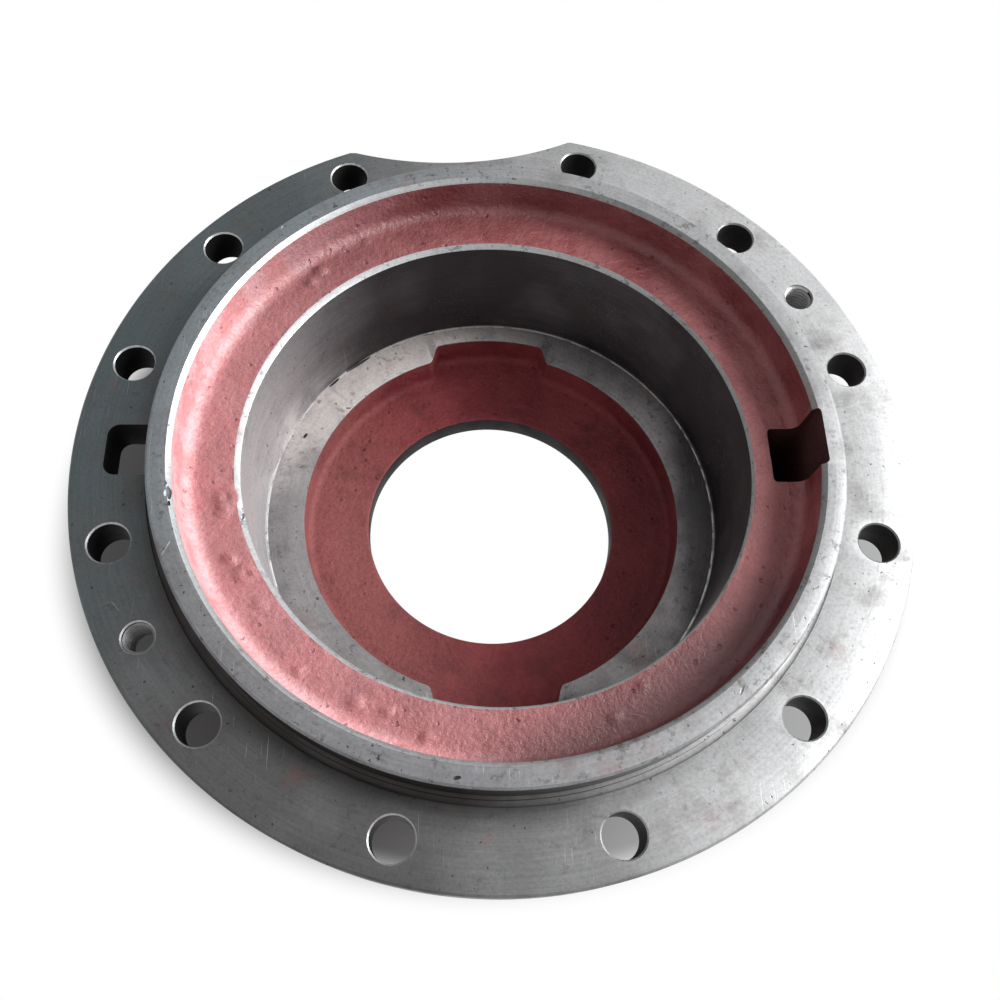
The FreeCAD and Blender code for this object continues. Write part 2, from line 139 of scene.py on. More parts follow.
# Corners of the section, from the hole in the floor round the outside and back: outline, height,
# round, finish of the stretch that follows, and the step between its rings, or None for a straight one.
CORNERS = [
    (circle(SHAFT_RADIUS), -FOOT_DEPTH, 0.8, "foot", None),
    (circle(HUB_FOOT_RADIUS), -FOOT_DEPTH, 3.5, "outside", RAW_STEP),
    (circle(HUB_RADIUS), -FLANGE_THICKNESS, 6, "outside", RAW_STEP),
    (RIM_FLAT, -FLANGE_THICKNESS, 0, "flange", None),
    (RIM, -FLANGE_THICKNESS + RIM_BREAK, 0, "flange", None),
    (RIM, -RIM_BREAK, 0.15, "flange", None),
    (RIM_FLAT, 0, 0.15, "flange", None),
    (circle(RELIEF_OUTER), 0, 0.15, "relief", None),
    (circle(RELIEF_OUTER), -RELIEF_DEPTH, 0.2, "relief", None),
    (circle(RELIEF_INNER), -RELIEF_DEPTH, 0.2, "relief", None),
    (circle(RELIEF_INNER), STEP_HEIGHT, 0.25, "relief", None),
    (circle(RING_RADIUS), STEP_HEIGHT, 0.25, "relief", None),
    (circle(RING_RADIUS), RING_HEIGHT - RING_BREAK, 0.1, "ring", None),
    (circle(RING_RADIUS - RING_BREAK), RING_HEIGHT, 0.1, "ring", None),
    (circle(GROOVE_RADIUS + LEAD_IN), RING_HEIGHT, 0.15, "edge", None),
    (circle(GROOVE_RADIUS), RING_HEIGHT - LEAD_IN, 0.15, "groove", FINE_STEP),
    (circle(GROOVE_FLOOR_RADIUS), -GROOVE_DEPTH, 3.8, "groove", FINE_STEP),
    (ground_mouth, -GROOVE_DEPTH, 0.1, "edge", None),
    (circle(BORE_RADIUS), -GROOVE_DEPTH - BORE_LEAD_IN, 0.15, "bore", None),
    (circle(BORE_RADIUS), -SHOULDER_DEPTH, 0.15, "edge", None),
    (circle(BORE_RADIUS - FOOT_LINE), -SHOULDER_DEPTH, 0, "land", None),
    (RECESS, -SHOULDER_DEPTH, 0.2, "edge", None),
    (RECESS, -SHOULDER_DEPTH - BARE_LIP, 0, "recess", FINE_STEP),
    (RECESS, -RECESS_DEPTH, 2.5, "recess", FINE_STEP),
    (circle(SHAFT_RADIUS), -RECESS_DEPTH, 0.8, "drilled", None),
]
RAW = ("outside", "groove", "recess")
REFERENCE_ANGLE = math.radians(10)
FADE_RINGS = 3


def corner_posts(index):
    """The rings of one corner, as offset from its outline and height. A round becomes a short arc."""
    outline, height, radius, _, _ = CORNERS[index]
    if radius == 0:
        return [(0, height)]
    here = (outline(REFERENCE_ANGLE), height)
    sides = []
    for neighbour in (CORNERS[index - 1], CORNERS[(index + 1) % len(CORNERS)]):
        run = (neighbour[0](REFERENCE_ANGLE) - here[0], neighbour[1] - here[1])
        length = math.hypot(*run)
        sides.append((run[0] / length, run[1] / length))
    (ax, ay), (bx, by) = sides
    half = math.acos(max(-1, min(1, ax * bx + ay * by))) / 2
    tangent = radius / math.tan(half)
    bisector = (ax + bx, ay + by)
    scale = radius / math.sin(half) / math.hypot(*bisector)
    centre = (bisector[0] * scale, bisector[1] * scale)
    first = (ax * tangent - centre[0], ay * tangent - centre[1])
    last = (bx * tangent - centre[0], by * tangent - centre[1])
    steps = 2 if radius < 0.5 else max(3, round(radius * (math.pi - 2 * half) / FINE_STEP))
    start = math.atan2(first[1], first[0])
    sweep = (math.atan2(last[1], last[0]) - start + math.pi) % (2 * math.pi) - math.pi
    posts = []
    for step in range(steps + 1):
        turn = start + sweep * step / steps
        posts.append((
            centre[0] + radius * math.cos(turn),
            height + centre[1] + radius * math.sin(turn),
        ))
    return posts


def section_rings():
    """Every ring: an outline and offset, those it moves towards, its share of the way, height, finish."""
    rings = []
    all_posts = [corner_posts(index) for index in range(len(CORNERS))]
    for index, posts in enumerate(all_posts):
        outline, _, _, finish, step = CORNERS[index]
        previous_finish = CORNERS[index - 1][3]
        following = (index + 1) % len(CORNERS)
        next_outline = CORNERS[following][0]
        middle = len(posts) // 2
        for number, (offset, height) in enumerate(posts):
            look = finish if number >= middle else previous_finish
            rings.append((outline, offset, outline, offset, 0, height, look))
        if step:
            offset, height = posts[-1]
            next_offset, next_height = all_posts[following][0]
            run = (
                next_outline(REFERENCE_ANGLE) + next_offset - outline(REFERENCE_ANGLE) - offset,
                next_height - height,
            )
            count = max(1, round(math.hypot(*run) / step))
            for number in range(1, count):
                share = number / count
                rings.append((
                    outline, offset, next_outline, next_offset, share,
                    height + (next_height - height) * share, finish,
                ))
    return rings


def ring_angles():
    """Even angles, with the nearest ones moved onto the two corners of the scallop."""
    angles = [2 * math.pi * number / SEGMENTS for number in range(SEGMENTS)]
    reach = RIM_RADIUS ** 2 + SCALLOP_CENTRE ** 2 - SCALLOP_RADIUS ** 2
    half = math.acos(reach / (2 * RIM_RADIUS * SCALLOP_CENTRE))
    for corner in (SCALLOP_ANGLE - half, SCALLOP_ANGLE + half):
        nearest = round(corner / (2 * math.pi) * SEGMENTS)
        angles[nearest] = corner
    flank = math.acos(POCKET_HALF_WIDTH / ((LAND_RADIUS + POCKET_REACH) / 2))
    fine = []
    for middle in (flank, math.pi - flank, math.pi + flank, 2 * math.pi - flank):
        angles = [angle for angle in angles if abs(angle - middle) > FLANK_SPREAD]
        fine += [
            middle + FLANK_SPREAD * (2 * number / FLANK_STEPS - 1)
            for number in range(FLANK_STEPS + 1)
        ]
    return sorted(angles + fine)


FINISHES = [
    "flange", "ring", "edge", "bore", "land", "groove", "recess", "outside", "drilled", "foot",
    "window", "relief",
]
materials = {finish: bpy.data.materials.new("iron_" + finish) for finish in FINISHES}


def new_piece(name, builder, finishes):
    """A mesh object from a bmesh, with one material slot for each finish."""
    mesh = bpy.data.meshes.new(name)
    builder.to_mesh(mesh)
    builder.free()
    for finish in finishes:
        mesh.materials.append(materials[finish])
    piece = bpy.data.objects.new(name, mesh)
    bpy.context.scene.collection.objects.link(piece)
    return piece


def turned_casting():
    rings = section_rings()
    angles = ring_angles()
    builder = bmesh.new()
    grown = builder.verts.layers.float.new("raw_skin")
    borders = [
        index for index in range(len(rings))
        if (rings[index][6] in RAW) != (rings[index - 1][6] in RAW)
    ]
    grid = []
    for index, (outline, offset, far_outline, far_offset, share, height, look) in enumerate(rings):
        away = min(abs(index - border) for border in borders)
        skin = min(1, away / FADE_RINGS) if look in RAW else 0
        row = []
        for angle in angles:
            near = outline(angle) + offset
            radius = near + (far_outline(angle) + far_offset - near) * share
            vertex = builder.verts.new((
                radius * math.cos(angle) * MM, radius * math.sin(angle) * MM, height * MM
            ))
            vertex[grown] = skin
            row.append(vertex)
        grid.append(row)
    for index, row in enumerate(grid):
        next_row = grid[(index + 1) % len(grid)]
        slot = FINISHES.index(rings[index][6])
        for number in range(len(angles)):
            after = (number + 1) % len(angles)
            face = builder.faces.new((row[number], row[after], next_row[after], next_row[number]))
            face.material_index = slot
            face.smooth = True
    bmesh.ops.remove_doubles(builder, verts=builder.verts, dist=1e-6)
    if builder.calc_volume(signed=True) < 0:
        bmesh.ops.reverse_faces(builder, faces=builder.faces)
    return new_piece("casting", builder, FINISHES)


casting = turned_casting()

# THE RAW SKIN
# What the sand mould left: a wavy, grainy surface with lumps where sand broke away from the mould.
# It fades out at every machined border, so that the turned faces stay true.
GRAIN_SIZE = 5
GRAIN_HEIGHT = 0.5
LUMP_SPACING = 17
LUMP_WIDTH = 0.16
LUMP_HEIGHT = 0.75
LUMPY_SHARE = 0.45
SKIN_SEED = 7.3


def add(tree, kind, inputs=(), **settings):
    """One node with its settings; an input is a plain value or the socket that feeds it."""
    made = tree.nodes.new(kind)
    for name, value in settings.items():
        setattr(made, name, value)
    for name, value in dict(inputs).items():
        if isinstance(value, bpy.types.NodeSocket):
            tree.links.new(value, made.inputs[name])
        else:
            made.inputs[name].default_value = value
    return made


def sums(tree, operation, *values):
    """A Math node's result."""
    return add(tree, "ShaderNodeMath", enumerate(values), operation=operation).outputs[0]


def new_tree(name, inputs):
    """A Geometry Nodes tree with a geometry socket each way and the named inputs."""
    tree = bpy.data.node_groups.new(name, "GeometryNodeTree")
    tree.interface.new_socket("Geometry", in_out="OUTPUT", socket_type="NodeSocketGeometry")
    tree.interface.new_socket("Geometry", in_out="INPUT", socket_type="NodeSocketGeometry")
    for socket_name, kind in inputs:
        tree.interface.new_socket(socket_name, in_out="INPUT", socket_type="NodeSocket" + kind)
    return tree, add(tree, "NodeGroupInput").outputs, add(tree, "NodeGroupOutput").inputs


def run_tree(piece, tree, values):
    """The piece's mesh as the tree leaves it, plain and with no modifier."""
    modifier = piece.modifiers.new(tree.name, "NODES")
    modifier.node_group = tree
    for item in tree.interface.items_tree:
        if item.in_out == "INPUT" and item.name in values:
            modifier[item.identifier] = values[item.name]
    return plain_mesh(piece)


def plain_mesh(piece):
    """Puts the evaluated mesh in place of the piece's own and takes its modifiers off."""
    bpy.context.view_layer.update()
    evaluated = piece.evaluated_get(bpy.context.evaluated_depsgraph_get())
    mesh = bpy.data.meshes.new_from_object(evaluated)
    piece.modifiers.clear()
    piece.data = mesh
    return mesh


def raw_skin_tree():
    tree, given, result = new_tree("sand_cast_skin", [
        ("Grain Size", "Float"), ("Grain Height", "Float"), ("Lump Spacing", "Float"),
        ("Lump Width", "Float"), ("Lump Height", "Float"), ("Lumpy Share", "Float"),
        ("Seed", "Float"),
    ])
    place = add(tree, "GeometryNodeInputPosition").outputs[0]
    grain = add(tree, "ShaderNodeTexNoise", {
        "Vector": place,
        "W": given["Seed"],
        "Scale": sums(tree, "DIVIDE", 1, given["Grain Size"]),
        "Detail": 3,
    }, noise_dimensions="4D").outputs[0]
    wave = sums(tree, "MULTIPLY", sums(tree, "SUBTRACT", grain, 0.5), given["Grain Height"])
    cells = add(tree, "ShaderNodeTexVoronoi", {
        "Vector": place,
        "W": given["Seed"],
        "Scale": sums(tree, "DIVIDE", 1, given["Lump Spacing"]),
    }, voronoi_dimensions="4D").outputs
    lump = add(tree, "ShaderNodeMapRange", {
        "Value": cells["Distance"],
        "From Min": given["Lump Width"],
        "From Max": 0,
    }, interpolation_type="SMOOTHSTEP").outputs[0]
    chosen = sums(tree, "LESS_THAN", add(
        tree, "ShaderNodeSeparateXYZ", {0: cells["Color"]}
    ).outputs[0], given["Lumpy Share"])
    lumps = sums(tree, "MULTIPLY", sums(tree, "MULTIPLY", lump, chosen), given["Lump Height"])
    share = add(
        tree, "GeometryNodeInputNamedAttribute", {"Name": "raw_skin"}, data_type="FLOAT"
    ).outputs[0]
    height = sums(tree, "MULTIPLY", sums(tree, "ADD", wave, lumps), share)
    offset = add(tree, "ShaderNodeVectorMath", {
        0: add(tree, "GeometryNodeInputNormal").outputs[0], "Scale": height,
    }, operation="SCALE").outputs[0]
    moved = add(tree, "GeometryNodeSetPosition", {
        "Geometry": given["Geometry"], "Offset": offset,
    })
    tree.links.new(moved.outputs[0], result["Geometry"])
    return tree


# Single lumps and scabs in the groove: direction in degrees, radius, height of the floor or wall
# there, half width, how high each stands, and how hollow its middle is.
SCABS = [
    (-169.4, 91.8, -2.1, 4.4, 1.0, 0.9), (-166.6, 93.5, -2.1, 2.6, 0.8, 0),
    (-156.8, 95.7, -2.1, 2.1, 1.1, 0), (-155.6, 95.0, -2.1, 1.7, 0.8, 0),
    (-152.0, 92.7, -2.1, 4.0, 0.9, 0.9), (-145.0, 93.5, -2.1, 2.4, 0.7, 0),
    (-118.2, 96.7, -2.1, 2.5, 0.9, 0), (-112.0, 95.3, -2.1, 2.2, 0.9, 0),
    (-104.0, 99.0, -2.1, 2.0, 0.8, 0), (130.4, 99.0, -2.0, 2.4, 1.1, 0),
    (133.5, 97.0, -2.1, 2.1, 0.9, 0), (118.0, 101.0, -1.0, 2.0, 0.8, 0),
    (100.0, 103.0, 1.0, 2.0, 0.8, 0), (-70.0, 97.0, -2.1, 2.4, 0.6, 0),
    (-62.0, 91.5, -2.1, 2.0, 0.7, 0), (-130.0, 98.5, -2.1, 2.0, 0.8, 0),
]
SCAB_EDGE = 0.42
SCAB_HOLLOW = 0.5


def eased(share):
    share = min(max(share, 0), 1)
    return share * share * (3 - 2 * share)


def raise_scabs(mesh):
    """Pushes the raw skin out over each scab, which may have a sunk middle."""
    for direction, radius, height, half_width, rise, hollow in SCABS:
        turn = math.radians(direction)
        middle = Vector((radius * math.cos(turn), radius * math.sin(turn), height)) * MM
        for vertex in mesh.vertices:
            share = (vertex.co - middle).length / (half_width * MM)
            if share < 1:
                crust = eased((1 - share) / SCAB_EDGE)
                crust -= hollow * eased((SCAB_HOLLOW - share) / SCAB_EDGE)
                vertex.co += vertex.normal * rise * MM * crust


run_tree(casting, raw_skin_tree(), {
    "Grain Size": GRAIN_SIZE * MM, "Grain Height": GRAIN_HEIGHT * MM,
    "Lump Spacing": LUMP_SPACING * MM, "Lump Width": LUMP_WIDTH,
    "Lump Height": LUMP_HEIGHT * MM, "Lumpy Share": LUMPY_SHARE, "Seed": SKIN_SEED,
})
raise_scabs(casting.data)

# THE RIBS AND THE OIL POCKET
# Six cast gussets brace the flange against the hub, with rounded free edges and swept roots. Beside
# them a closed pocket hangs under the oil window. All are cast in one with the rest.
RIB_COUNT = 6
RIB_FIRST_ANGLE = 30
RIB_HALF_THICKNESS = 4.5
RIB_INNER = 89
RIB_OUTER = 119
SUNK_IN_FLANGE = 4
RIB_TOP = -FLANGE_THICKNESS + SUNK_IN_FLANGE
RIB_TOE = -FLANGE_THICKNESS - 4
RIB_DROP = -FLANGE_THICKNESS - 41
RIB_ROUND = 3
ROOT_SWEEP = 5
RIB_COLUMNS = 16
RIB_ROWS = 20
WINDOW_INNER = 94
WINDOW_OUTER = 108
WINDOW_HALF_WIDTH = 10.3
WINDOW_CORNER = 1.5
OIL_POCKET_DEPTH = 45
OIL_POCKET_WALL = 5
OIL_POCKET_SUNK = 6
OIL_POCKET_FOOT_ROUND = 3
CORNER_STEPS = 6


def set_about(tree, given, result, points, rotation=None):
    """Ends a repeating tree: the geometry on each point, as one plain mesh of one material."""
    inputs = {"Points": points, "Instance": given["Geometry"]}
    if rotation is not None:
        inputs["Rotation"] = rotation
    copies = add(tree, "GeometryNodeInstanceOnPoints", inputs).outputs[0]
    whole = add(tree, "GeometryNodeRealizeInstances", {0: copies}).outputs[0]
    painted = add(tree, "GeometryNodeSetMaterial", {
        "Geometry": whole, "Material": given["Material"],
    })
    tree.links.new(painted.outputs[0], result["Geometry"])
    return tree


def round_the_axis_tree():
    tree, given, result = new_tree("round_the_axis", [
        ("Count", "Int"), ("First Angle", "Float"), ("Pitch Angle", "Float"),
        ("Material", "Material"),
    ])
    points = add(tree, "GeometryNodeMeshLine", {"Count": given["Count"], "Offset": (0, 0, 0)})
    turn = sums(
        tree, "MULTIPLY_ADD",
        add(tree, "GeometryNodeInputIndex").outputs[0], given["Pitch Angle"], given["First Angle"],
    )
    euler = add(tree, "ShaderNodeCombineXYZ", {"Z": sums(tree, "RADIANS", turn)})
    rotation = add(tree, "FunctionNodeEulerToRotation", {0: euler.outputs[0]})
    return set_about(tree, given, result, points.outputs[0], rotation.outputs[0])


round_the_axis = round_the_axis_tree()


def rib_mesh():
    """One gusset along +X: thickness from the distance to its free edge, swept out at its roots."""
    slope_run = (RIB_OUTER - HUB_RADIUS, RIB_TOE - RIB_DROP)
    slope_length = math.hypot(*slope_run)
    builder = bmesh.new()
    sides = []
    for side in (1, -1):
        grid = []
        for column in range(RIB_COLUMNS + 1):
            radius = RIB_INNER + (RIB_OUTER - RIB_INNER) * column / RIB_COLUMNS
            low = RIB_TOE - (RIB_OUTER - radius) * slope_run[1] / slope_run[0]
            low = max(low, RIB_DROP - OIL_POCKET_WALL)
            line = []
            for row in range(RIB_ROWS + 1):
                height = low + (RIB_TOP - low) * row / RIB_ROWS
                across = (height - low) * slope_run[0] / slope_length
                free = min(across, RIB_OUTER - radius)
                half = RIB_HALF_THICKNESS
                if free < RIB_ROUND:
                    half -= RIB_ROUND - math.sqrt(RIB_ROUND ** 2 - (RIB_ROUND - free) ** 2)
                for near in (-FLANGE_THICKNESS - height, radius - HUB_RADIUS):
                    if near < ROOT_SWEEP:
                        half += ROOT_SWEEP * (1 - max(near, 0) / ROOT_SWEEP) ** 2 / 2
                line.append(builder.verts.new((radius * MM, side * half * MM, height * MM)))
            grid.append(line)
        sides.append(grid)
    for grid in sides:
        for column in range(RIB_COLUMNS):
            for row in range(RIB_ROWS):
                builder.faces.new((
                    grid[column][row], grid[column + 1][row],
                    grid[column + 1][row + 1], grid[column][row + 1],
                ))
    right, left = sides
    for column in range(RIB_COLUMNS):
        for row in (0, RIB_ROWS):
            builder.faces.new((
                right[column][row], right[column + 1][row],
                left[column + 1][row], left[column][row],
            ))
    for row in range(RIB_ROWS):
        for column in (0, RIB_COLUMNS):
            builder.faces.new((
                right[column][row], right[column][row + 1],
                left[column][row + 1], left[column][row],
            ))
    bmesh.ops.recalc_face_normals(builder, faces=builder.faces)
    for face in builder.faces:
        face.smooth = True
    return builder


def rounded_box(low, high, corner, steps, foot_round=0):
    """An upright box in millimetres with rounded upright edges, and a rounded foot if asked for."""
    levels = [(high[2], 0)]
    for step in range(steps + 1 if foot_round else 1):
        turn = math.pi / 2 * step / steps if foot_round else 0
        rise = foot_round * (1 - math.sin(turn))
        inward = foot_round * (1 - math.cos(turn))
        levels.append((low[2] + rise, inward))
    builder = bmesh.new()
    rings = []
    for height, inward in levels:
        ring = []
        for quarter in range(4):
            sign_x = 1 if quarter in (0, 3) else -1
            sign_y = 1 if quarter in (0, 1) else -1
            middle_x = high[0] - corner if sign_x > 0 else low[0] + corner
            middle_y = high[1] - corner if sign_y > 0 else low[1] + corner
            for step in range(steps + 1):
                turn = math.pi / 2 * (quarter + step / steps)
                reach = max(corner - inward, 0)
                slip = max(inward - corner, 0)
                x = middle_x - sign_x * slip + reach * math.cos(turn)
                y = middle_y - sign_y * slip + reach * math.sin(turn)
                ring.append(builder.verts.new((x * MM, y * MM, height * MM)))
        rings.append(ring)
    for upper, lower in zip(rings, rings[1:]):
        for number in range(len(upper)):
            after = (number + 1) % len(upper)
            builder.faces.new((upper[number], upper[after], lower[after], lower[number]))
    builder.faces.new(rings[0])
    builder.faces.new(rings[-1])
    bmesh.ops.remove_doubles(builder, verts=builder.verts, dist=1e-6)
    bmesh.ops.recalc_face_normals(builder, faces=builder.faces)
    return builder


def cut_or_join(operation, tool):
    """One exact Boolean on the casting, after which the tool is gone."""
    modifier = casting.modifiers.new(operation.lower(), "BOOLEAN")
    modifier.operation = operation
    modifier.object = tool
    modifier.solver = "EXACT"
    plain_mesh(casting)
    bpy.data.objects.remove(tool)


def all_in_one(name, tools):
    """Joins tools into one mesh; each keeps the finish that it comes with."""
    joined = bmesh.new()
    for piece, finish in tools:
        before = len(joined.faces)
        joined.from_mesh(piece.data)
        joined.faces.ensure_lookup_table()
        for face in joined.faces[before:]:
            face.material_index = FINISHES.index(finish)
        bpy.data.objects.remove(piece)
    return new_piece(name, joined, FINISHES)


ribs = new_piece("ribs", rib_mesh(), ["outside"])
run_tree(ribs, round_the_axis, {
    "Count": RIB_COUNT, "First Angle": RIB_FIRST_ANGLE, "Pitch Angle": 360 / RIB_COUNT,
    "Material": materials["outside"],
})
oil_pocket = new_piece("oil_pocket", rounded_box(
    (HUB_RADIUS - OIL_POCKET_SUNK, -WINDOW_HALF_WIDTH - OIL_POCKET_WALL,
     -OIL_POCKET_DEPTH - OIL_POCKET_WALL),
    (WINDOW_OUTER + OIL_POCKET_WALL, WINDOW_HALF_WIDTH + OIL_POCKET_WALL, RIB_TOP),
    OIL_POCKET_WALL, CORNER_STEPS, foot_round=OIL_POCKET_FOOT_ROUND,
), ["outside"])
cut_or_join("UNION", all_in_one("cast_under_flange", [(ribs, "outside"), (oil_pocket, "outside")]))

# THE HOLES AND OPENINGS
# Twelve bolt holes are drilled through the flange in three runs, and two holes are tapped for
# jacking screws. The oil window and the slot are cast openings.
BOLT_CIRCLE = 130
BOLT_HOLE_RADIUS = mounts["side_bolts"]["dims"]["hole_r_mm"]
HOLE_BREAK = 0.5
BOLT_RUNS = [(15, 30, 3), (115, 25, 2), (165, 30, 7)]
JACK_RADIUS = mounts["jacking_screws"]["dims"]["hole_r_mm"]
JACKS = {"Count": 2, "First Angle": 30, "Pitch Angle": 180}
HOLE_SEGMENTS = 44
PAST = 3
SLOT_OUTER = 131
SLOT_INNER = 112
SLOT_HALF_WIDTH = 9.4
SLOT_CORNER = 4
CHIP_ROUGHNESS = 0.14
CHIP_WAVES = (2600, 1900, 3100)
FACES_UP = 0.5
SHARP_FROM = math.radians(32)

# Chips, scratches and caked dirt in the machined faces: place, half length, half width, half depth,
# direction, and the finish that shows in each.
CHIPS = [
    (-105.0, -21.8, 11.9, 2.6, 1.5, 0.8, 80, "ring"),
    (-106.3, -18.6, 12.4, 1.1, 0.7, 0.5, 60, "ring"),
    (-104.2, -25.4, 12.2, 1.0, 0.6, 0.5, 95, "relief"),
    (-103.3, -40.5, 12.5, 2.6, 0.22, 0.2, 66, "edge"),
    (-60.9, -94.7, 12.2, 1.9, 0.5, 0.4, -33, "edge"),
    (-54.2, -98.8, 12.2, 1.5, 0.45, 0.4, -29, "edge"),
    (-15.1, -110.4, 12.5, 1.3, 0.6, 0.35, 20, "relief"),
    (69.3, -85.9, 12.5, 1.6, 0.6, 0.35, 62, "edge"),
    (-76.0, 82.6, 12.4, 1.6, 0.5, 0.35, 43, "ring"),
    (101.0, -50.5, 12.5, 1.8, 0.35, 0.3, 15, "ring"),
    (-84.6, -23.5, -2.6, 1.5, 0.6, 0.5, 75, "ring"),
    (-60.5, 65.8, -2.6, 1.7, 0.6, 0.5, 42, "ring"),
    (30.0, -127.0, 0.0, 3.2, 0.25, 0.2, 8, "ring"),
    (-120.5, -55.0, 0.0, 2.4, 0.25, 0.2, -48, "ring"),
    (112.0, 62.0, 0.0, 2.6, 0.25, 0.2, 35, "ring"),
    (-74.0, 33.5, -51.0, 1.4, 0.6, 0.4, 64, "relief"),
    (-54.3, 67.1, -51.0, 7.0, 0.7, 0.6, 39, "relief"),
    (-63.5, 58.4, -51.0, 3.0, 0.5, 0.5, 47, "relief"),
    (-25.2, 82.5, -51.0, 2.6, 0.5, 0.3, 17, "edge"),
    (41.0, -56.0, -51.0, 1.5, 0.9, 0.3, 10, "relief"),
]


def drill(radius):
    """A drill through the flange on the bolt circle, flared at both faces to break the edges."""
    flare = radius + HOLE_BREAK
    profile = [
        (flare + PAST, PAST), (radius, -HOLE_BREAK),
        (radius, -FLANGE_THICKNESS + HOLE_BREAK), (flare + PAST, -FLANGE_THICKNESS - PAST),
    ]
    builder = bmesh.new()
    rings = []
    for reach, height in profile:
        rings.append([
            builder.verts.new((
                (BOLT_CIRCLE + reach * math.cos(2 * math.pi * number / HOLE_SEGMENTS)) * MM,
                reach * math.sin(2 * math.pi * number / HOLE_SEGMENTS) * MM,
                height * MM,
            ))
            for number in range(HOLE_SEGMENTS)
        ])
    for upper, lower in zip(rings, rings[1:]):
        for number in range(HOLE_SEGMENTS):
            after = (number + 1) % HOLE_SEGMENTS
            builder.faces.new((upper[number], upper[after], lower[after], lower[number]))
    builder.faces.new(rings[0])
    builder.faces.new(rings[-1])
    bmesh.ops.recalc_face_normals(builder, faces=builder.faces)
    return builder


def chip(x, y, height, half_long, half_wide, half_deep, direction):
    """A rough pebble that takes one chip or scratch out of a machined face."""
    builder = bmesh.new()
    bmesh.ops.create_icosphere(builder, subdivisions=2, radius=MM)
    turn = math.radians(direction)
    wave_x, wave_y, wave_z = CHIP_WAVES
    for vertex in builder.verts:
        a, b, c = vertex.co
        rough = 1 + CHIP_ROUGHNESS * math.sin(wave_x * a + wave_y * b + wave_z * c + direction)
        along, across = a * half_long * rough, b * half_wide * rough
        vertex.co = (
            x * MM + along * math.cos(turn) - across * math.sin(turn),
            y * MM + along * math.sin(turn) + across * math.cos(turn),
            height * MM + c * half_deep * rough,
        )
    return builder


cutters = [(new_piece("chip", chip(*size), [finish]), finish) for *size, finish in CHIPS]
for first, pitch, count in BOLT_RUNS:
    run = new_piece("bolt_drills", drill(BOLT_HOLE_RADIUS), ["drilled"])
    run_tree(run, round_the_axis, {
        "Count": count, "First Angle": first, "Pitch Angle": pitch,
        "Material": materials["drilled"],
    })
    cutters.append((run, "drilled"))
jack_drills = new_piece("jack_drills", drill(JACK_RADIUS), ["drilled"])
run_tree(jack_drills, round_the_axis, {**JACKS, "Material": materials["drilled"]})
cutters.append((jack_drills, "drilled"))
cutters.append((new_piece("window_core", rounded_box(
    (WINDOW_INNER, -WINDOW_HALF_WIDTH, -OIL_POCKET_DEPTH),
    (WINDOW_OUTER, WINDOW_HALF_WIDTH, RING_HEIGHT + PAST), WINDOW_CORNER, CORNER_STEPS - 1,
), ["window"]), "window"))
cutters.append((new_piece("slot_core", rounded_box(
    (-SLOT_OUTER, -SLOT_HALF_WIDTH, -FLANGE_THICKNESS - PAST),
    (-SLOT_INNER + SLOT_CORNER, SLOT_HALF_WIDTH, STEP_HEIGHT), SLOT_CORNER, CORNER_STEPS,
), ["drilled"]), "drilled"))
cut_or_join("DIFFERENCE", all_in_one("cores_and_drills", cutters))
for face in casting.data.polygons:
    if face.material_index == FINISHES.index("drilled") and face.normal.z > FACES_UP:
        face.material_index = FINISHES.index("edge")
casting.data.set_sharp_from_angle(angle=SHARP_FROM)

# THE JACKING THREADS
# A metric thread is cut down each of the two smaller holes, for a screw that pushes the flange off
# its housing. Its roots lie at the size of the hole and its crests stand in from there.
THREAD_PITCH = 1.5
THREAD_DEPTH = 0.65
THREAD_TURNS = 8
TURN_SEGMENTS = 36
CREST_HALF = 0.14
ROOT_HALF = 0.7
ROOT_SUNK = 0.05


def thread_turn():
    """One turn of the ridge, which the next turn carries on."""
    profile = [
        (JACK_RADIUS + ROOT_SUNK, -ROOT_HALF), (JACK_RADIUS - THREAD_DEPTH, -CREST_HALF),
        (JACK_RADIUS - THREAD_DEPTH, CREST_HALF), (JACK_RADIUS + ROOT_SUNK, ROOT_HALF),
    ]
    builder = bmesh.new()
    rings = []
    for number in range(TURN_SEGMENTS + 1):
        turn = 2 * math.pi * number / TURN_SEGMENTS
        drop = -THREAD_PITCH * number / TURN_SEGMENTS - THREAD_PITCH / 2
        rings.append([
            builder.verts.new((
                (BOLT_CIRCLE + radius * math.cos(turn)) * MM,
                radius * math.sin(turn) * MM,
                (drop + height) * MM,
            ))
            for radius, height in profile
        ])
    for here, there in zip(rings, rings[1:]):
        for number in range(len(profile)):
            after = (number + 1) % len(profile)
            builder.faces.new((here[number], here[after], there[after], there[number]))
    bmesh.ops.recalc_face_normals(builder, faces=builder.faces)
    return builder


def stacked_tree():
    tree, given, result = new_tree("stacked_turns", [
        ("Count", "Int"), ("Pitch", "Float"), ("Material", "Material"),
    ])
    step = add(tree, "ShaderNodeCombineXYZ", {"Z": sums(tree, "MULTIPLY", given["Pitch"], -1)})
    points = add(tree, "GeometryNodeMeshLine", {
        "Count": given["Count"], "Offset": step.outputs[0],
    })
    return set_about(tree, given, result, points.outputs[0])


threads = new_piece("jacking_threads", thread_turn(), ["foot"])
run_tree(threads, stacked_tree(), {
    "Count": THREAD_TURNS, "Pitch": THREAD_PITCH * MM, "Material": materials["foot"],
})
run_tree(threads, round_the_axis, {**JACKS, "Material": materials["foot"]})
closing = bmesh.new()
closing.from_mesh(threads.data)
bmesh.ops.remove_doubles(closing, verts=closing.verts, dist=1e-6)
bmesh.ops.holes_fill(closing, edges=[edge for edge in closing.edges if edge.is_boundary])
bmesh.ops.recalc_face_normals(closing, faces=closing.faces)
closing.to_mesh(threads.data)
closing.free()

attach(casting, "root")
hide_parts("bearing_seat")
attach(threads, "root")

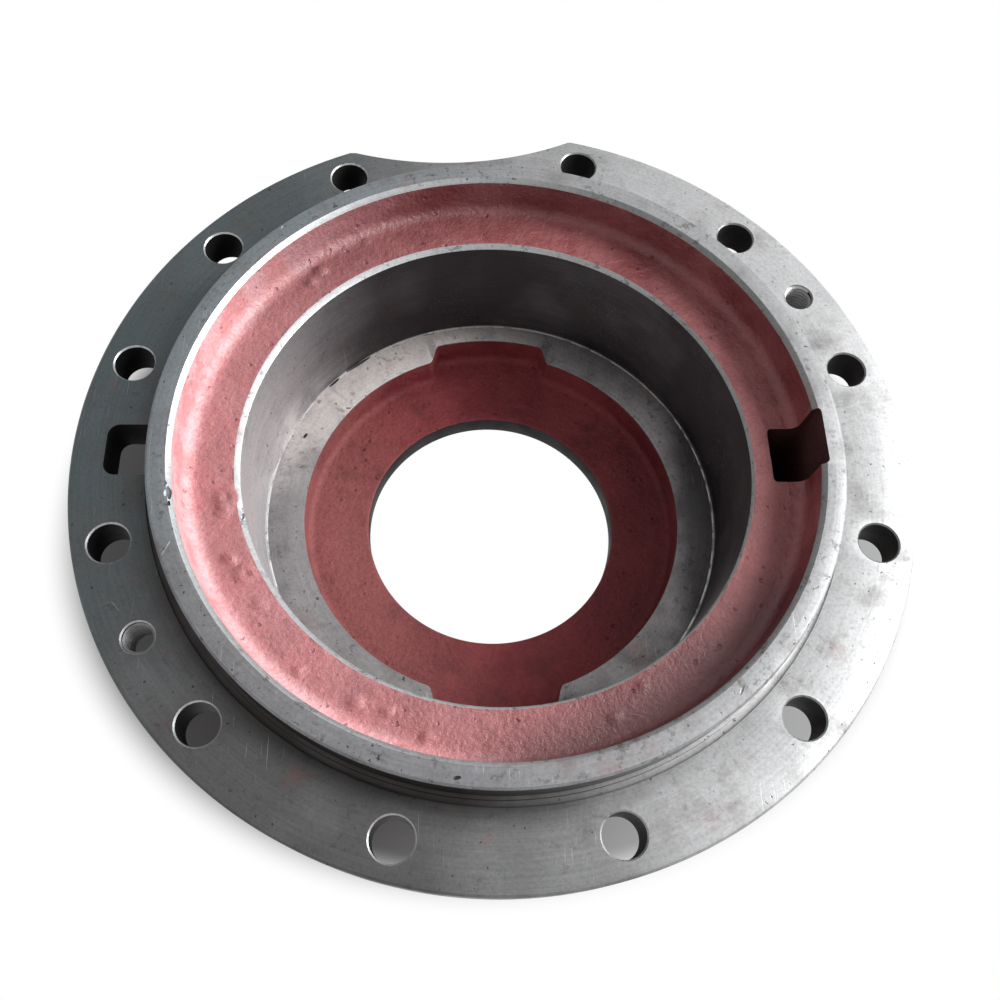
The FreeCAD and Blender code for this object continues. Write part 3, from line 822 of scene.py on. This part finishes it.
# THE MACHINED FINISH
# Grey iron as the lathe and the drill left it, gone dull: fine rings of turning marks, stains of
# oil and rust, dark specks of graphite and dirt, and scratches from handling. Light and shade are
# painted over each face too: a tone that changes in one direction, tints of shade and reflection,
# the ring's shadow and a highlight line.
# Direction and span in millimetres of the painted light and shade on the machined faces.
SHADING_DIRECTION = 20
SHADING_START = -75
SHADING_END = 125
# Dark grime for dirt spots, also painted as shade on the land and as the ring's shadow on the flange.
DIRT_AND_SHADE = (0.016, 0.014, 0.015)
GRAPHITE = (0.022, 0.02, 0.02)
FINE_DIRT = (0.02, 0.02, 0.022)
PRIMER_SMEAR = (0.19, 0.06, 0.055)
LATHE_SHINE = (0.9, 0.9, 0.9)
# Colour of a thin painted highlight line at the bore's foot.
PAINTED_HIGHLIGHT = (0.8, 0.79, 0.77)
SCRATCHED_IRON = (0.6, 0.6, 0.6)
TURNING_PITCH = 0.7
TURNING_LENGTH = 40
# Radii and side of the ring's painted shadow on the flange, darkest at the left-front.
RING_SHADOW_RADII = (0.127, 0.115)
RING_SHADOW_SIDE = (215, 10, 90)
SCRATCH_RUNS = ((31, 0.5, 19), (-62, 0.4, 26), (83, 0.45, 14))
IRON_RELIEF = 0.06


def ramp(tree, value, low, high, start=0, end=1):
    """A smooth step of the value from low to high, from start to end."""
    return add(tree, "ShaderNodeMapRange", {
        "Value": value, "From Min": low, "From Max": high, "To Min": start, "To Max": end,
    }, interpolation_type="SMOOTHSTEP").outputs[0]


def blend(tree, share, first, second, way="MIX"):
    """Two colours mixed; each is a colour or a socket."""
    made = add(tree, "ShaderNodeMix", {"Factor": share}, data_type="RGBA", blend_type=way)
    for socket, value in ((made.inputs[6], first), (made.inputs[7], second)):
        if isinstance(value, bpy.types.NodeSocket):
            tree.links.new(value, socket)
        else:
            socket.default_value = (*value, 1)
    return made.outputs[2]


def noise(tree, place, size, detail=2, roughness=0.5):
    """Noise whose features are about size millimetres across."""
    return add(tree, "ShaderNodeTexNoise", {
        "Vector": place, "Scale": 1 / (size * MM), "Detail": detail, "Roughness": roughness,
    }).outputs[0]


def stretched(tree, place, turn, across, along):
    """Coordinates for marks that run one way: size across them and along them, in millimetres."""
    return add(tree, "ShaderNodeMapping", {
        "Vector": place, "Rotation": (0, 0, math.radians(turn)),
        "Scale": (1 / (across * MM), 1 / (along * MM), 1 / (across * MM)),
    }).outputs[0]


def one_way(tree, place, direction, low, high, most=1.0):
    """A share that grows across the part in one direction, from low to high millimetres."""
    turn = math.radians(direction)
    reach = add(tree, "ShaderNodeVectorMath", {
        0: place, 1: (math.cos(turn), math.sin(turn), 0),
    }, operation="DOT_PRODUCT").outputs["Value"]
    return ramp(tree, reach, low * MM, high * MM, 0, most)


def noise_along(tree, place):
    return add(tree, "ShaderNodeTexNoise", {"Vector": place, "Scale": 1, "Detail": 1}).outputs[0]


def iron(name, start_tone, end_tone, stain, roughness, marks=0.5, smears=0.0, scratched=1.0,
         stained=0.5, shading_direction=SHADING_DIRECTION, metallic=0.7, span=(SHADING_START, SHADING_END),
         casts=(), ring_shade=0.0, cloudy=0.7, spotted=0.0, highlight_radius=None):
    """A machined finish: its tones at the two ends of its painted light and shade, and the colour of
    its stains.

    The tone goes from the start tone to the end tone in one direction, over a span in millimetres.
    Casts are painted tints of shade and reflection that come over it, each with its direction, span
    and share. Highlight radius is the radius of a thin painted highlight line.
    """
    material = materials[name]
    material.use_nodes = True
    tree = material.node_tree
    shader = tree.nodes["Principled BSDF"]
    place = add(tree, "ShaderNodeTexCoord").outputs["Object"]
    x, y, z = add(tree, "ShaderNodeSeparateXYZ", {0: place}).outputs
    radius = sums(tree, "SQRT", sums(tree, "MULTIPLY_ADD", x, x, sums(tree, "MULTIPLY", y, y)))
    lathe = add(tree, "ShaderNodeCombineXYZ", {
        "X": sums(tree, "MULTIPLY", sums(tree, "ADD", radius, z), 1 / (TURNING_PITCH * MM)),
        "Y": sums(tree, "MULTIPLY", x, 1 / (TURNING_LENGTH * MM)),
        "Z": sums(tree, "MULTIPLY", y, 1 / (TURNING_LENGTH * MM)),
    }).outputs[0]
    turning = add(tree, "ShaderNodeTexNoise", {"Vector": lathe, "Scale": 1, "Detail": 3}).outputs[0]
    clouds = noise(tree, place, 45, 4, 0.5)
    # Painted light and shade: the tone goes from the start tone to the end tone in one direction.
    side = sums(
        tree, "MULTIPLY_ADD", sums(tree, "SUBTRACT", clouds, 0.5), cloudy,
        one_way(tree, place, shading_direction, *span),
    )
    colour = blend(tree, side, start_tone, end_tone)
    # Painted tints of shade and reflection, each growing in one direction.
    for tone, direction, low, high, most in casts:
        colour = blend(tree, one_way(tree, place, direction, low, high, most), colour, tone)
    # Painted shadow of the ring on the flange, at its foot on the left-front.
    if ring_shade:
        near_ring = ramp(tree, radius, *RING_SHADOW_RADII, 0, ring_shade)
        share = sums(tree, "MULTIPLY", near_ring, one_way(tree, place, *RING_SHADOW_SIDE))
        colour = blend(tree, share, colour, DIRT_AND_SHADE)
    colour = blend(
        tree, ramp(tree, turning, 0.3, 0.7, 0, marks * 0.5), colour, LATHE_SHINE, "SOFT_LIGHT"
    )
    blotches = noise(tree, place, 14, 8, 0.6)
    colour = blend(tree, ramp(tree, blotches, 0.42, 0.8, 0, stained), colour, stain)
    fine = noise(tree, place, 1.1, 4, 0.7)
    colour = blend(tree, ramp(tree, fine, 0.3, 0.62, 0.22, 0), colour, FINE_DIRT)
    specks = noise(tree, place, 1.9, 3, 0.55)
    speck_share = ramp(tree, specks, 0.66, 0.72)
    colour = blend(tree, sums(tree, "MULTIPLY", speck_share, 0.8), colour, GRAPHITE)
    if spotted:
        spots = noise(tree, place, 3.4, 5, 0.68)
        where = ramp(tree, noise(tree, place, 17, 2), 0.42, 0.58, 0.15, 1)
        share = sums(tree, "MULTIPLY", ramp(tree, spots, 0.55, 0.64, 0, spotted), where)
        colour = blend(tree, share, colour, DIRT_AND_SHADE)
    if smears:
        reddish = ramp(tree, noise(tree, place, 19, 7, 0.66), 0.57, 0.72, 0, smears)
        colour = blend(tree, reddish, colour, PRIMER_SMEAR)
    patches = ramp(tree, noise(tree, place, 30, 2), 0.45, 0.62)
    # Painted highlight: a thin, broken bright line round the given radius.
    if highlight_radius:
        whole = ramp(tree, noise(tree, place, 5, 3), 0.36, 0.52, 0.15, 0.9)
        line = ramp(tree, radius, (highlight_radius - 0.95) * MM, (highlight_radius - 0.65) * MM)
        colour = blend(tree, sums(tree, "MULTIPLY", line, whole), colour, PAINTED_HIGHLIGHT)
    scratches = None
    for turn, across, along in SCRATCH_RUNS:
        line = noise_along(tree, stretched(tree, place, turn, across, along))
        share = ramp(tree, line, 0.72, 0.77, 0, scratched)
        scratches = share if scratches is None else sums(tree, "MAXIMUM", scratches, share)
    scratches = sums(tree, "MULTIPLY", scratches, patches)
    colour = blend(tree, sums(tree, "MULTIPLY", scratches, 0.45), colour, SCRATCHED_IRON)
    tree.links.new(colour, shader.inputs["Base Color"])
    tree.links.new(
        ramp(tree, blotches, 0.35, 0.7, roughness - 0.06, roughness + 0.12),
        shader.inputs["Roughness"],
    )
    shader.inputs["Metallic"].default_value = metallic
    relief = sums(
        tree, "SUBTRACT",
        sums(tree, "MULTIPLY_ADD", turning, marks, sums(tree, "MULTIPLY", fine, 0.5)),
        sums(tree, "ADD", sums(tree, "MULTIPLY", scratches, 0.6), speck_share),
    )
    bump = add(tree, "ShaderNodeBump", {
        "Height": relief, "Strength": 0.6, "Distance": IRON_RELIEF * MM,
    })
    tree.links.new(bump.outputs[0], shader.inputs["Normal"])


# Flange: painted reflected light on the right, painted shade on the left, a painted teal reflection at
# the left and the ring's painted shadow at its foot.
iron("flange", (0.080, 0.080, 0.081), (0.43, 0.435, 0.44), (0.095, 0.086, 0.08), 0.46, smears=0.25,
     shading_direction=8, scratched=0.5, span=(-70, 115), ring_shade=0.6, stained=0.6, spotted=0.25,
     casts=[((0.058, 0.084, 0.092), 160, 50, 135, 0.66)])
# Ring: painted lighter towards the right, with a painted cool reflection on the left.
iron("ring", (0.19, 0.19, 0.198), (0.32, 0.325, 0.33), (0.13, 0.122, 0.118), 0.44, smears=0.25,
     shading_direction=10, scratched=0.7, stained=0.7, span=(-60, 100), spotted=0.45,
     casts=[((0.16, 0.2, 0.217), 150, 40, 110, 0.6)])
# Ring's foot: dark with dirt and painted shade at the left and the back, painted lighter to the right.
iron("relief", (0.028, 0.024, 0.023), (0.30, 0.30, 0.30), (0.04, 0.03, 0.028), 0.5, shading_direction=-15,
     scratched=0, span=(-5, 118))
# Edges and chamfers: painted highlight on the left, painted shade on the right.
iron("edge", (0.44, 0.45, 0.46), (0.15, 0.15, 0.15), (0.22, 0.21, 0.20), 0.42, scratched=0.4,
     smears=0.4, spotted=0.5)
# Bore: painted light at the front-left, painted shade down to near black at the back-right.
iron("bore", (0.56, 0.54, 0.55), (0.017, 0.013, 0.015), (0.06, 0.043, 0.038), 0.42, marks=0.8,
     shading_direction=50, stained=0.4, scratched=0.5, span=(-80, 38), cloudy=0.25)
# Land: painted light at the back-left, painted shade elsewhere and darkest at the right, and a painted
# highlight line at the bore's foot.
iron("land", (0.79, 0.725, 0.70), (0.2, 0.192, 0.194), (0.06, 0.048, 0.045), 0.55, smears=0.3,
     shading_direction=-55, scratched=0.5, stained=0.45, span=(-92, -45), cloudy=0.4, spotted=0.45,
     casts=[(DIRT_AND_SHADE, 358, 66, 79, 0.8), (DIRT_AND_SHADE, 70, 60, 84, 0.2)], highlight_radius=87)
# Drilled walls, the slot and the shaft hole: near black, painted shade inside them.
iron("drilled", (0.012, 0.012, 0.012), (0.02, 0.02, 0.02), (0.01, 0.009, 0.009), 0.65, scratched=0)
# Foot and threads: painted a little lighter towards the right.
iron("foot", (0.22, 0.22, 0.22), (0.3, 0.3, 0.3), (0.1, 0.09, 0.085), 0.45, smears=0.4)

# THE RED PRIMER
# One thin coat, brushed over the raw skin before machining. It is dull, grainy and dusty, pitted and
# rubbed through here and there, with painted light at the left and painted shade in places.
SHADED_RED = (0.03, 0.008, 0.01)
PITTED_RED = (0.06, 0.012, 0.012)
# Red of brighter patches within the primer's painted light.
LIT_PATCH_RED = (0.56, 0.15, 0.145)
OILY_RED = (0.05, 0.02, 0.02)
RUBBED_THROUGH = (0.12, 0.075, 0.06)
# Side and radii of the primer's painted light: full on the walls, by the given share on the floor.
PAINTED_LIGHT_SIDE = 195
PAINTED_LIGHT_RADII = (0.099, 0.104)
PIT_SPACING = 4.5
DRIFT = 1.6
DRIFT_SIZE = 1.5
PRIMER_RELIEF = 0.5


def from_axis(tree, place):
    """The distance from the bearing's axis, in metres."""
    flat = add(tree, "ShaderNodeVectorMath", {0: place, 1: (1, 1, 0)}, operation="MULTIPLY")
    length = add(tree, "ShaderNodeVectorMath", {0: flat.outputs[0]}, operation="LENGTH")
    return length.outputs["Value"]


def primer(name, deep, dusty, roughness, painted_light=None, casts=(), worn=0.4, specular=0.5,
           on_floor=1.0, oily=0.0, lit_patches=0.0):
    """The primer in one place: its deep and dusty colours, its painted light at the left, its painted
    shade.
    """
    material = materials[name]
    material.use_nodes = True
    tree = material.node_tree
    shader = tree.nodes["Principled BSDF"]
    place = add(tree, "ShaderNodeTexCoord").outputs["Object"]
    dust = noise(tree, place, 22, 6, 0.62)
    grain = noise(tree, place, 1.3, 5, 0.65)
    colour = blend(tree, ramp(tree, dust, 0.32, 0.66), deep, dusty)
    # Painted light on the left side, with brighter red patches in it.
    if painted_light:
        lit_colour, low, high, most = painted_light
        share = sums(
            tree, "MULTIPLY", one_way(tree, place, PAINTED_LIGHT_SIDE, low, high, most),
            ramp(tree, from_axis(tree, place), *PAINTED_LIGHT_RADII, on_floor, 1),
        )
        colour = blend(tree, share, colour, lit_colour)
        lit_patch = ramp(tree, noise(tree, place, 13, 5, 0.62), 0.56, 0.4, 0, lit_patches)
        colour = blend(tree, sums(tree, "MULTIPLY", share, lit_patch), colour, LIT_PATCH_RED)
    # Painted shade over the sides away from the light.
    for tone, direction, low, high, most in casts:
        colour = blend(tree, one_way(tree, place, direction, low, high, most), colour, tone)
    colour = blend(tree, ramp(tree, grain, 0.3, 0.6, 0.25, 0), colour, PITTED_RED)
    drift = add(tree, "ShaderNodeTexNoise", {
        "Vector": place, "Scale": 1 / (DRIFT_SIZE * MM), "Detail": 2,
    })
    wavy = add(tree, "ShaderNodeVectorMath", {
        0: drift.outputs["Color"], 1: (DRIFT * MM, DRIFT * MM, DRIFT * MM), 2: place,
    }, operation="MULTIPLY_ADD").outputs[0]
    pits = add(tree, "ShaderNodeTexVoronoi", {
        "Vector": wavy, "Scale": 1 / (PIT_SPACING * MM), "Randomness": 1,
    }).outputs
    chosen = ramp(tree, add(
        tree, "ShaderNodeSeparateXYZ", {0: pits["Color"]}
    ).outputs[1], 0.62, 0.66)
    pit = sums(tree, "MULTIPLY", ramp(tree, pits["Distance"], 0.2, 0.08), chosen)
    colour = blend(tree, sums(tree, "MULTIPLY", pit, 0.3), colour, PITTED_RED)
    rubbed = ramp(tree, noise(tree, place, 6, 6, 0.72), 0.66, 0.74, 0, worn)
    colour = blend(tree, rubbed, colour, RUBBED_THROUGH)
    smudges = ramp(tree, noise(tree, place, 16, 6, 0.62), 0.52, 0.68, 0, oily)
    colour = blend(tree, smudges, colour, OILY_RED)
    tree.links.new(colour, shader.inputs["Base Color"])
    tree.links.new(
        ramp(tree, dust, 0.3, 0.7, roughness - 0.1, roughness + 0.1), shader.inputs["Roughness"]
    )
    shader.inputs["Specular IOR Level"].default_value = specular
    coarse = noise(tree, place, 3.2, 3, 0.5)
    relief = sums(
        tree, "SUBTRACT",
        sums(tree, "MULTIPLY_ADD", coarse, 1.2, sums(tree, "MULTIPLY", grain, 1.0)),
        sums(tree, "MULTIPLY", pit, 0.9),
    )
    bump = add(tree, "ShaderNodeBump", {
        "Height": relief, "Strength": 0.9, "Distance": PRIMER_RELIEF * MM,
    })
    tree.links.new(bump.outputs[0], shader.inputs["Normal"])


# Groove: painted light on its left walls and floor, painted shade at the front-right and the back.
primer("groove", (0.24, 0.05, 0.053), (0.36, 0.115, 0.12), 0.4,
       painted_light=((0.78, 0.45, 0.47), -15, 90, 0.85), on_floor=0.36,
       casts=[(SHADED_RED, 300, 76, 97, 0.62), (SHADED_RED, 110, 70, 104, 0.4)], lit_patches=0.6)
# Recess: painted light on the left, painted shade on the right.
primer("recess", (0.19, 0.029, 0.035), (0.29, 0.06, 0.067), 0.55,
       painted_light=((0.30, 0.112, 0.107), 5, 66, 0.7), casts=[(SHADED_RED, 350, 30, 70, 0.4)],
       specular=0.2, oily=0.3)
# Oil window: near black, painted shade inside the deep window.
primer("window", (0.03, 0.006, 0.006), (0.05, 0.011, 0.011), 0.6)
primer("outside", (0.16, 0.036, 0.036), (0.27, 0.08, 0.08), 0.55)

# THE FLOOR AND THE LIGHT
# A pale floor under the hub that is seen only from above, one large soft lamp on the right, and a
# weak one overhead. The floor is white where it is seen, with the part's shade painted under it.
FLOOR_HALF = 3
FLOOR_GAP = 0.0003
PALE = (0.82, 0.82, 0.82)
SHADED = (0.3, 0.31, 0.31)
SHADE_CENTRE = (0.003, 0.012)
SHADE_REACH = (0.18, 0.156)
SHADE_EDGE = (0.89, 1.02)
HUB_HOLE_EDGE = (0.062, 0.056)
SURROUNDINGS = 0.26
KEY = ((1.12, 0.13, 0.6), 0.8, 34.5)
FILL = ((0.1, 0.2, 1.2), 1.0, 1.0)
AIM = (0, 0, -0.02)


def white_where_seen(tree, kind, surface, share):
    """White for the camera and for mirrored rays, by the given share; the rest as the surface."""
    path = add(tree, "ShaderNodeLightPath").outputs
    seen = sums(tree, "MAXIMUM", path["Is Camera Ray"], path["Is Glossy Ray"])
    seen = sums(tree, "MAXIMUM", seen, path["Is Transmission Ray"])
    white = add(tree, kind, {"Color": (1, 1, 1, 1), "Strength": 1})
    return add(tree, "ShaderNodeMixShader", {
        0: sums(tree, "MULTIPLY", seen, share), 1: surface.outputs[0], 2: white.outputs[0],
    })


def clear_of_shade(tree):
    """0 under the part and 1 outside its shade and in sight of the shaft hole."""
    place = add(tree, "ShaderNodeTexCoord").outputs["Object"]
    centred = add(tree, "ShaderNodeVectorMath", {
        0: place, 1: (*SHADE_CENTRE, 0),
    }, operation="SUBTRACT")
    flattened = add(tree, "ShaderNodeVectorMath", {
        0: centred.outputs[0], 1: (1 / SHADE_REACH[0], 1 / SHADE_REACH[1], 0),
    }, operation="MULTIPLY")
    return sums(
        tree, "MAXIMUM",
        ramp(tree, from_axis(tree, flattened.outputs[0]), *SHADE_EDGE),
        ramp(tree, from_axis(tree, place), *HUB_HOLE_EDGE),
    )


def pale_floor():
    """The floor's finish. From below, and a hair away from the foot, it lets everything through."""
    material = bpy.data.materials.new("pale_floor")
    material.use_nodes = True
    tree = material.node_tree
    tree.nodes.clear()
    clear = clear_of_shade(tree)
    matt = add(tree, "ShaderNodeBsdfDiffuse", {"Color": blend(tree, clear, SHADED, PALE)})
    seen = white_where_seen(tree, "ShaderNodeEmission", matt, clear)
    gone = add(tree, "ShaderNodeBsdfTransparent")
    from_below = add(tree, "ShaderNodeNewGeometry").outputs["Backfacing"]
    length = add(tree, "ShaderNodeLightPath").outputs["Ray Length"]
    close = ramp(tree, length, 4 * FLOOR_GAP, 3 * FLOOR_GAP)
    mixed = add(tree, "ShaderNodeMixShader", {
        0: sums(tree, "MAXIMUM", from_below, close), 1: seen.outputs[0], 2: gone.outputs[0],
    })
    add(tree, "ShaderNodeOutputMaterial", {"Surface": mixed.outputs[0]})
    return material


floor_level = seat_low.z - FLOOR_GAP
floor_mesh = bpy.data.meshes.new("floor")
floor_mesh.from_pydata([
    (-FLOOR_HALF, -FLOOR_HALF, floor_level), (FLOOR_HALF, -FLOOR_HALF, floor_level),
    (FLOOR_HALF, FLOOR_HALF, floor_level), (-FLOOR_HALF, FLOOR_HALF, floor_level),
], [], [(0, 1, 2, 3)])
floor_mesh.materials.append(pale_floor())
floor = bpy.data.objects.new("floor", floor_mesh)
bpy.context.scene.collection.objects.link(floor)

world = bpy.data.worlds.new("surroundings")
bpy.context.scene.world = world
world.use_nodes = True
around = world.node_tree
around.nodes.clear()
ambient = add(around, "ShaderNodeBackground", {"Color": (1, 1, 1, 1), "Strength": SURROUNDINGS})
white = white_where_seen(around, "ShaderNodeBackground", ambient, 1)
add(around, "ShaderNodeOutputWorld", {"Surface": white.outputs[0]})

for name, (place, size, power) in (("key", KEY), ("fill", FILL)):
    lamp = bpy.data.lights.new(name, "AREA")
    lamp.size = size
    lamp.energy = power
    lamp_object = bpy.data.objects.new(name, lamp)
    bpy.context.scene.collection.objects.link(lamp_object)
    lamp_object.location = place
    lamp_object.rotation_euler = (Vector(place) - Vector(AIM)).to_track_quat("Z", "Y").to_euler()

# THE CAMERA
# It stands over the front edge and looks down at the steep angle of the photograph. Place, angles
# and lens were worked out so that the rims and the bolt holes fall where they do there.
CAMERA_PLACE = (-0.01833, -0.15002, 0.28199)
CAMERA_DIP = math.radians(67.65)
CAMERA_PAN = math.radians(1.45)
CAMERA_ROLL = math.radians(-3.49)
SEAT_TURN = math.radians(3.80)
SENSOR = 36
FOCAL = 0.93928
CENTRE = (0.492709, 0.546158)

level = Matrix((
    (1, 0, 0),
    (0, math.sin(CAMERA_DIP), math.cos(CAMERA_DIP)),
    (0, -math.cos(CAMERA_DIP), math.sin(CAMERA_DIP)),
))
pan = Matrix.Rotation(CAMERA_PAN, 3, "Y")
roll = Matrix.Rotation(CAMERA_ROLL, 3, "Z")
turned = Matrix.Rotation(-SEAT_TURN, 3, "Z") @ (roll @ pan @ level).transposed()
camera = bpy.data.cameras.new("camera")
camera.sensor_width = SENSOR
camera.lens = FOCAL * SENSOR
camera.shift_x = 0.5 - CENTRE[0]
camera.shift_y = CENTRE[1] - 0.5
camera.clip_start = 0.01
camera_object = bpy.data.objects.new("camera", camera)
camera_object.matrix_world = Matrix.Translation(CAMERA_PLACE) @ turned.to_4x4()
bpy.context.scene.collection.objects.link(camera_object)
bpy.context.scene.camera = camera_object
bpy.context.scene.view_settings.view_transform = "Standard"
